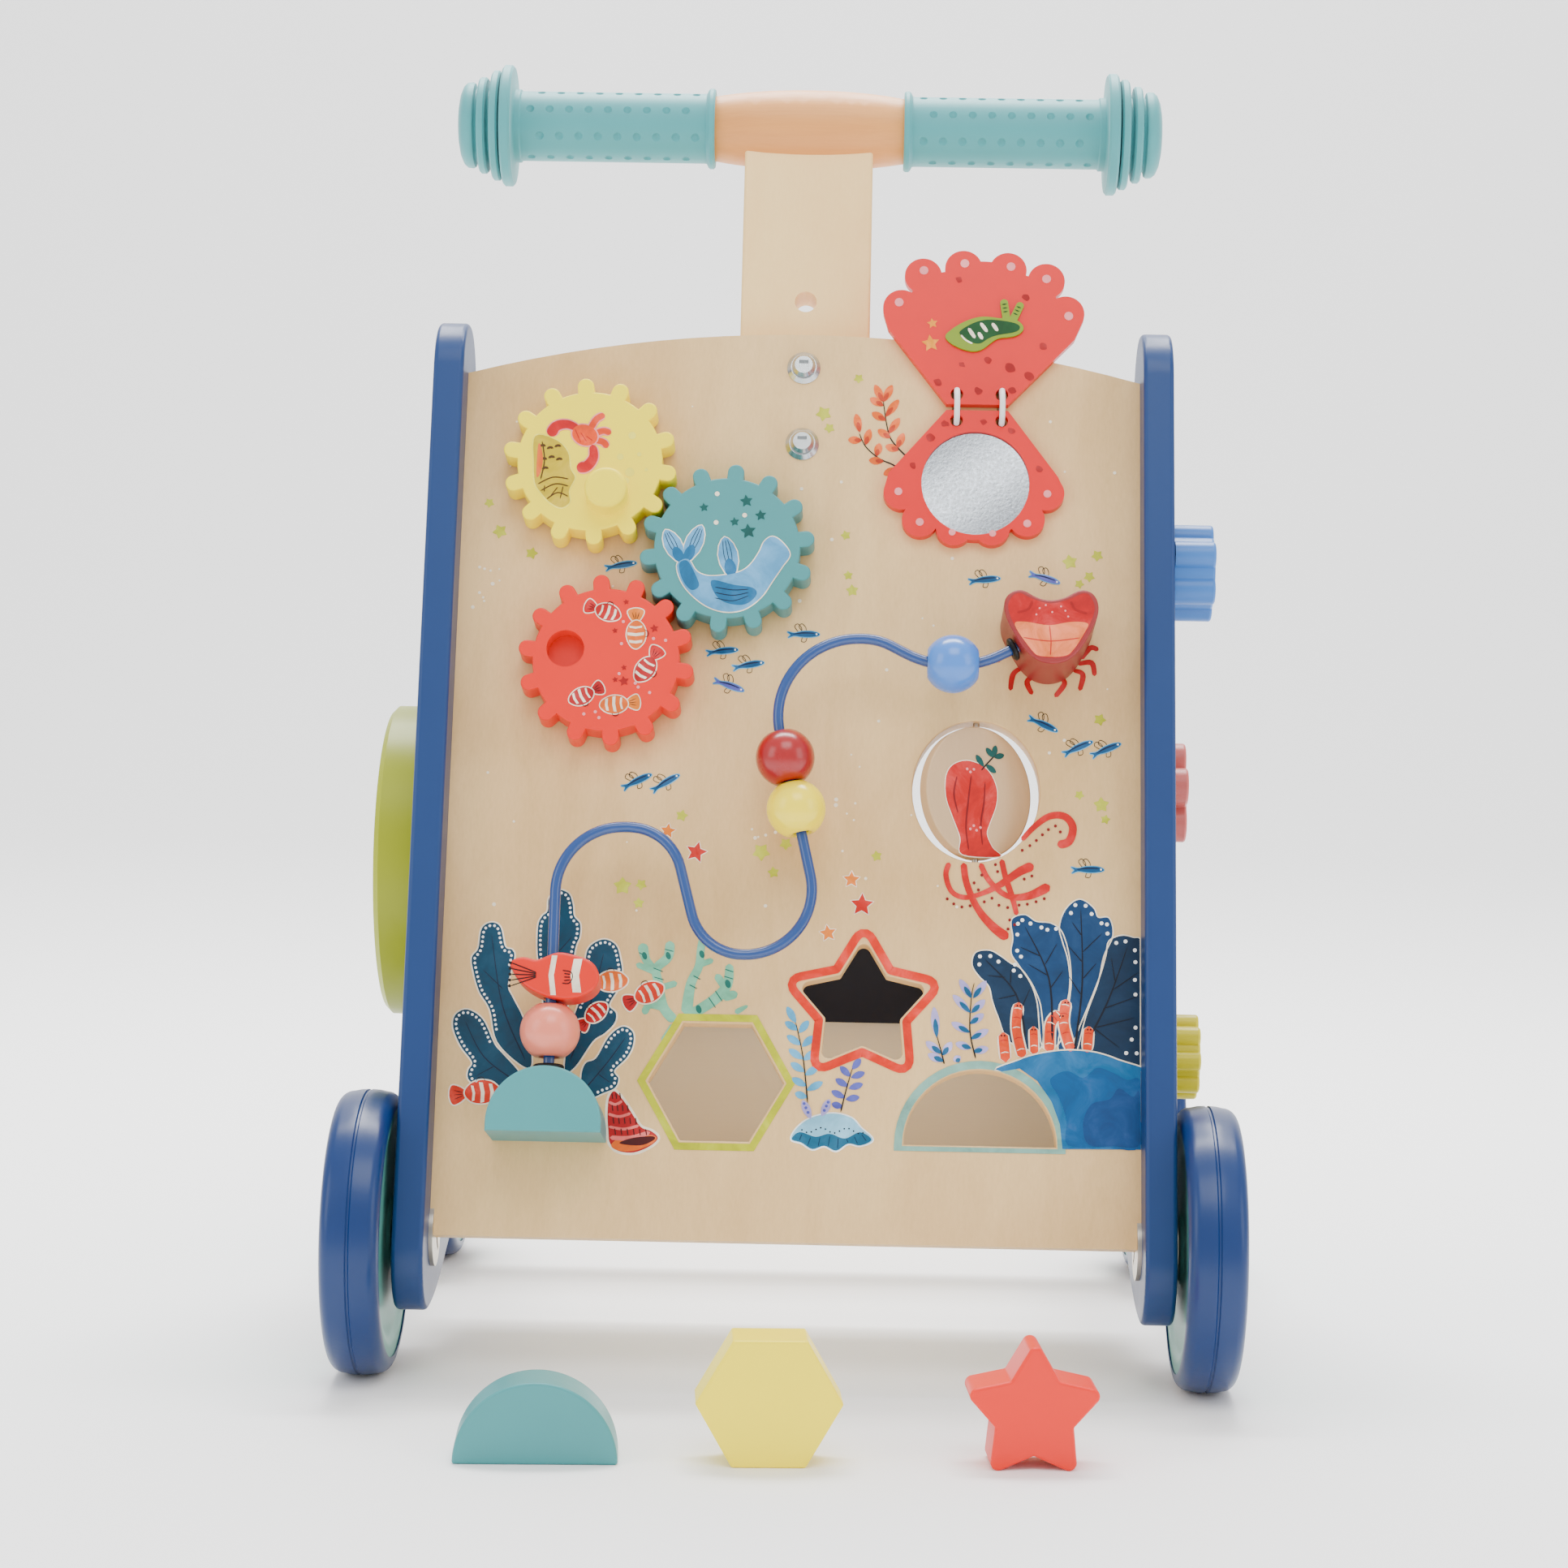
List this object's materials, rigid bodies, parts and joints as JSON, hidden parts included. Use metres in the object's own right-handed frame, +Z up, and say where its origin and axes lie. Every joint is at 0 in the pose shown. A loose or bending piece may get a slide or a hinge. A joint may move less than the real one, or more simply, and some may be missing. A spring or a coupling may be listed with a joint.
{
  "type": "baby walker",
  "caption": "Wooden push-along baby walker with a sloping activity board: meshing gears, bead wire, flap mirror, spinning plaque, shape sorter and a height-adjustable handle.",
  "frame": {"origin": "middle of the whole object's footprint on the floor, the three loose blocks in front included", "axes": "+Z up, the activity board faces -Y, +X to the right as seen from the front"},
  "size_m": [0.3344, 0.395, 0.4903],
  "materials": {
    "blue_paint": "satin",
    "board_wood": "satin",
    "ply": "matt",
    "navy_paint": "satin",
    "rail_wood": "satin",
    "post_wood": "satin",
    "beech": "satin",
    "grip_rubber": "matt",
    "steel": "satin",
    "zinc": "polished",
    "tyre_paint": "gloss",
    "mint_paint": "satin",
    "yellow_paint": "satin",
    "teal_paint": "satin",
    "coral_paint": "satin",
    "shell_red": "satin",
    "mirror": "polished",
    "ring_plastic": "gloss",
    "crab_red": "satin",
    "wire_blue": "gloss",
    "bead_blue": "gloss",
    "bead_red": "gloss",
    "bead_yellow": "gloss",
    "bead_pink": "gloss",
    "fish_orange": "satin",
    "slug_green": "satin",
    "lime_paint": "satin",
    "knob_blue": "satin",
    "knob_pink": "satin",
    "knob_yellow": "satin"
  },
  "bodies": {
    "walker": {"left_side_panel": "blue_paint", "right_side_panel": "blue_paint", "front_board": "board_wood", "storage_floor": "ply", "storage_back_panel": "ply", "storage_rail": "navy_paint", "rear_cross_rail": "rail_wood", "panel_screws": "steel", "handle_post": "post_wood", "handle_bar": "beech", "left_grip": "grip_rubber", "right_grip": "grip_rubber", "handle_bolts": "zinc", "handle_bolt_washers": "zinc", "handle_nuts": "steel", "axle_bolts": "steel", "axle_inserts": "steel", "axle_spacers": "steel", "gear_axles": "steel", "gear_spacers": "ring_plastic", "shell_plate": "shell_red", "shell_mirror": "mirror", "lid_rings": "ring_plastic", "crab_block": "crab_red", "wire_end_block": "teal_paint", "bead_wire": "wire_blue", "plaque_rod": "steel", "drum_pin": "steel", "knob_pins": "steel"},
    "front_left_wheel": {"front_left_tyre": "tyre_paint", "front_left_hub": "mint_paint"},
    "front_right_wheel": {"front_right_tyre": "tyre_paint", "front_right_hub": "mint_paint"},
    "rear_left_wheel": {"rear_left_tyre": "tyre_paint", "rear_left_hub": "mint_paint"},
    "rear_right_wheel": {"rear_right_tyre": "tyre_paint", "rear_right_hub": "mint_paint"},
    "yellow_gear": {"yellow_gear": "yellow_paint", "yellow_gear_peg": "yellow_paint", "yellow_gear_cap": "yellow_paint"},
    "teal_gear": {"teal_gear": "teal_paint", "teal_gear_cap": "teal_paint"},
    "coral_gear": {"coral_gear": "coral_paint", "coral_gear_cap": "coral_paint"},
    "shell_lid": {"shell_lid": "shell_red", "lid_sea_slug": "slug_green"},
    "spin_plaque": {"spin_plaque": "board_wood"},
    "drum": {"drum_disc": "lime_paint"},
    "blue_knob": {"blue_knob": "knob_blue"},
    "pink_knob": {"pink_knob": "knob_pink"},
    "yellow_knob": {"yellow_knob": "knob_yellow"},
    "blue_bead": {"blue_bead": "bead_blue"},
    "red_bead": {"red_bead": "bead_red"},
    "yellow_bead": {"yellow_bead": "bead_yellow"},
    "pink_bead": {"pink_bead": "bead_pink"},
    "fish_bead": {"fish_bead": "fish_orange"},
    "half_disc_block": {"half_disc_block": "teal_paint"},
    "hexagon_block": {"hexagon_block": "yellow_paint"},
    "star_block": {"star_block": "coral_paint"}
  },
  "joints": [
    {"name": "front_left_wheel_spin", "type": "hinge", "parent": "walker", "child": "front_left_wheel", "pos_m": [-0.1516, -0.0706, 0.0514], "axis": [1, 0, 0], "continuous": true},
    {"name": "front_right_wheel_spin", "type": "hinge", "parent": "walker", "child": "front_right_wheel", "pos_m": [0.1516, -0.0706, 0.0514], "axis": [1, 0, 0], "continuous": true},
    {"name": "rear_left_wheel_spin", "type": "hinge", "parent": "walker", "child": "rear_left_wheel", "pos_m": [-0.1516, 0.1461, 0.0514], "axis": [1, 0, 0], "continuous": true},
    {"name": "rear_right_wheel_spin", "type": "hinge", "parent": "walker", "child": "rear_right_wheel", "pos_m": [0.1516, 0.1461, 0.0514], "axis": [1, 0, 0], "continuous": true},
    {"name": "yellow_gear_spin", "type": "hinge", "parent": "walker", "child": "yellow_gear", "pos_m": [-0.0794, -0.00498, 0.33168], "axis": [0, -0.9593, 0.2823], "continuous": true},
    {"name": "teal_gear_spin", "type": "hinge", "parent": "walker", "child": "teal_gear", "pos_m": [-0.02695, -0.01431, 0.29996], "axis": [0, -0.9593, 0.2823], "continuous": true},
    {"name": "coral_gear_spin", "type": "hinge", "parent": "walker", "child": "coral_gear", "pos_m": [-0.07071, -0.02671, 0.25783], "axis": [0, -0.9593, 0.2823], "continuous": true},
    {"name": "shell_lid_hinge", "type": "hinge", "parent": "walker", "child": "shell_lid", "pos_m": [0.068, 0.00519, 0.35666], "axis": [1, 0, 0], "range_deg": [0, 178]},
    {"name": "plaque_spin", "type": "hinge", "parent": "walker", "child": "spin_plaque", "pos_m": [0.0672, -0.02824, 0.21191], "axis": [0, 0.2823, 0.9593], "continuous": true},
    {"name": "drum_spin", "type": "hinge", "parent": "walker", "child": "drum", "pos_m": [-0.149, 0.0301, 0.1785], "axis": [1, 0, 0], "continuous": true},
    {"name": "blue_knob_spin", "type": "hinge", "parent": "walker", "child": "blue_knob", "pos_m": [0.14775, 0.0021, 0.2952], "axis": [1, 0, 0], "continuous": true},
    {"name": "pink_knob_spin", "type": "hinge", "parent": "walker", "child": "pink_knob", "pos_m": [0.146, 0.0511, 0.208], "axis": [1, 0, 0], "continuous": true},
    {"name": "yellow_knob_spin", "type": "hinge", "parent": "walker", "child": "yellow_knob", "pos_m": [0.14725, 0.0021, 0.111], "axis": [1, 0, 0], "continuous": true},
    {"name": "blue_bead_slide", "type": "hinge", "parent": "walker", "child": "blue_bead", "pos_m": [0.0575, -0.02898, 0.29614], "axis": [0, -0.9593, 0.2823], "range_deg": [-8, 8]},
    {"name": "red_bead_slide", "type": "slide", "parent": "walker", "child": "red_bead", "axis": [-0.225, 0.2751, 0.9347], "range_m": [0, 0.006]},
    {"name": "yellow_bead_slide", "type": "slide", "parent": "walker", "child": "yellow_bead", "axis": [-0.225, 0.2751, 0.9347], "range_m": [-0.018, 0]},
    {"name": "fish_bead_slide", "type": "slide", "parent": "walker", "child": "fish_bead", "axis": [0, 0.2823, 0.9593], "range_m": [0, 0.022]},
    {"name": "pink_bead_slide", "type": "slide", "parent": "walker", "child": "pink_bead", "axis": [0, 0.2823, 0.9593], "range_m": [0, 0.022]},
    {"name": "half_disc_block_lift", "type": "slide", "parent": "walker", "child": "half_disc_block", "axis": [0, 0, 1], "range_m": [0, 0.1]},
    {"name": "hexagon_block_lift", "type": "slide", "parent": "walker", "child": "hexagon_block", "axis": [0, 0, 1], "range_m": [0, 0.1]},
    {"name": "star_block_lift", "type": "slide", "parent": "walker", "child": "star_block", "axis": [0, 0, 1], "range_m": [0, 0.1]}
  ],
  "couplings": [
    {"joint": "teal_gear_spin", "follows": "yellow_gear_spin", "ratio": -1},
    {"joint": "coral_gear_spin", "follows": "yellow_gear_spin", "ratio": 1},
    {"joint": "pink_bead_slide", "follows": "fish_bead_slide", "ratio": 1}
  ]
}
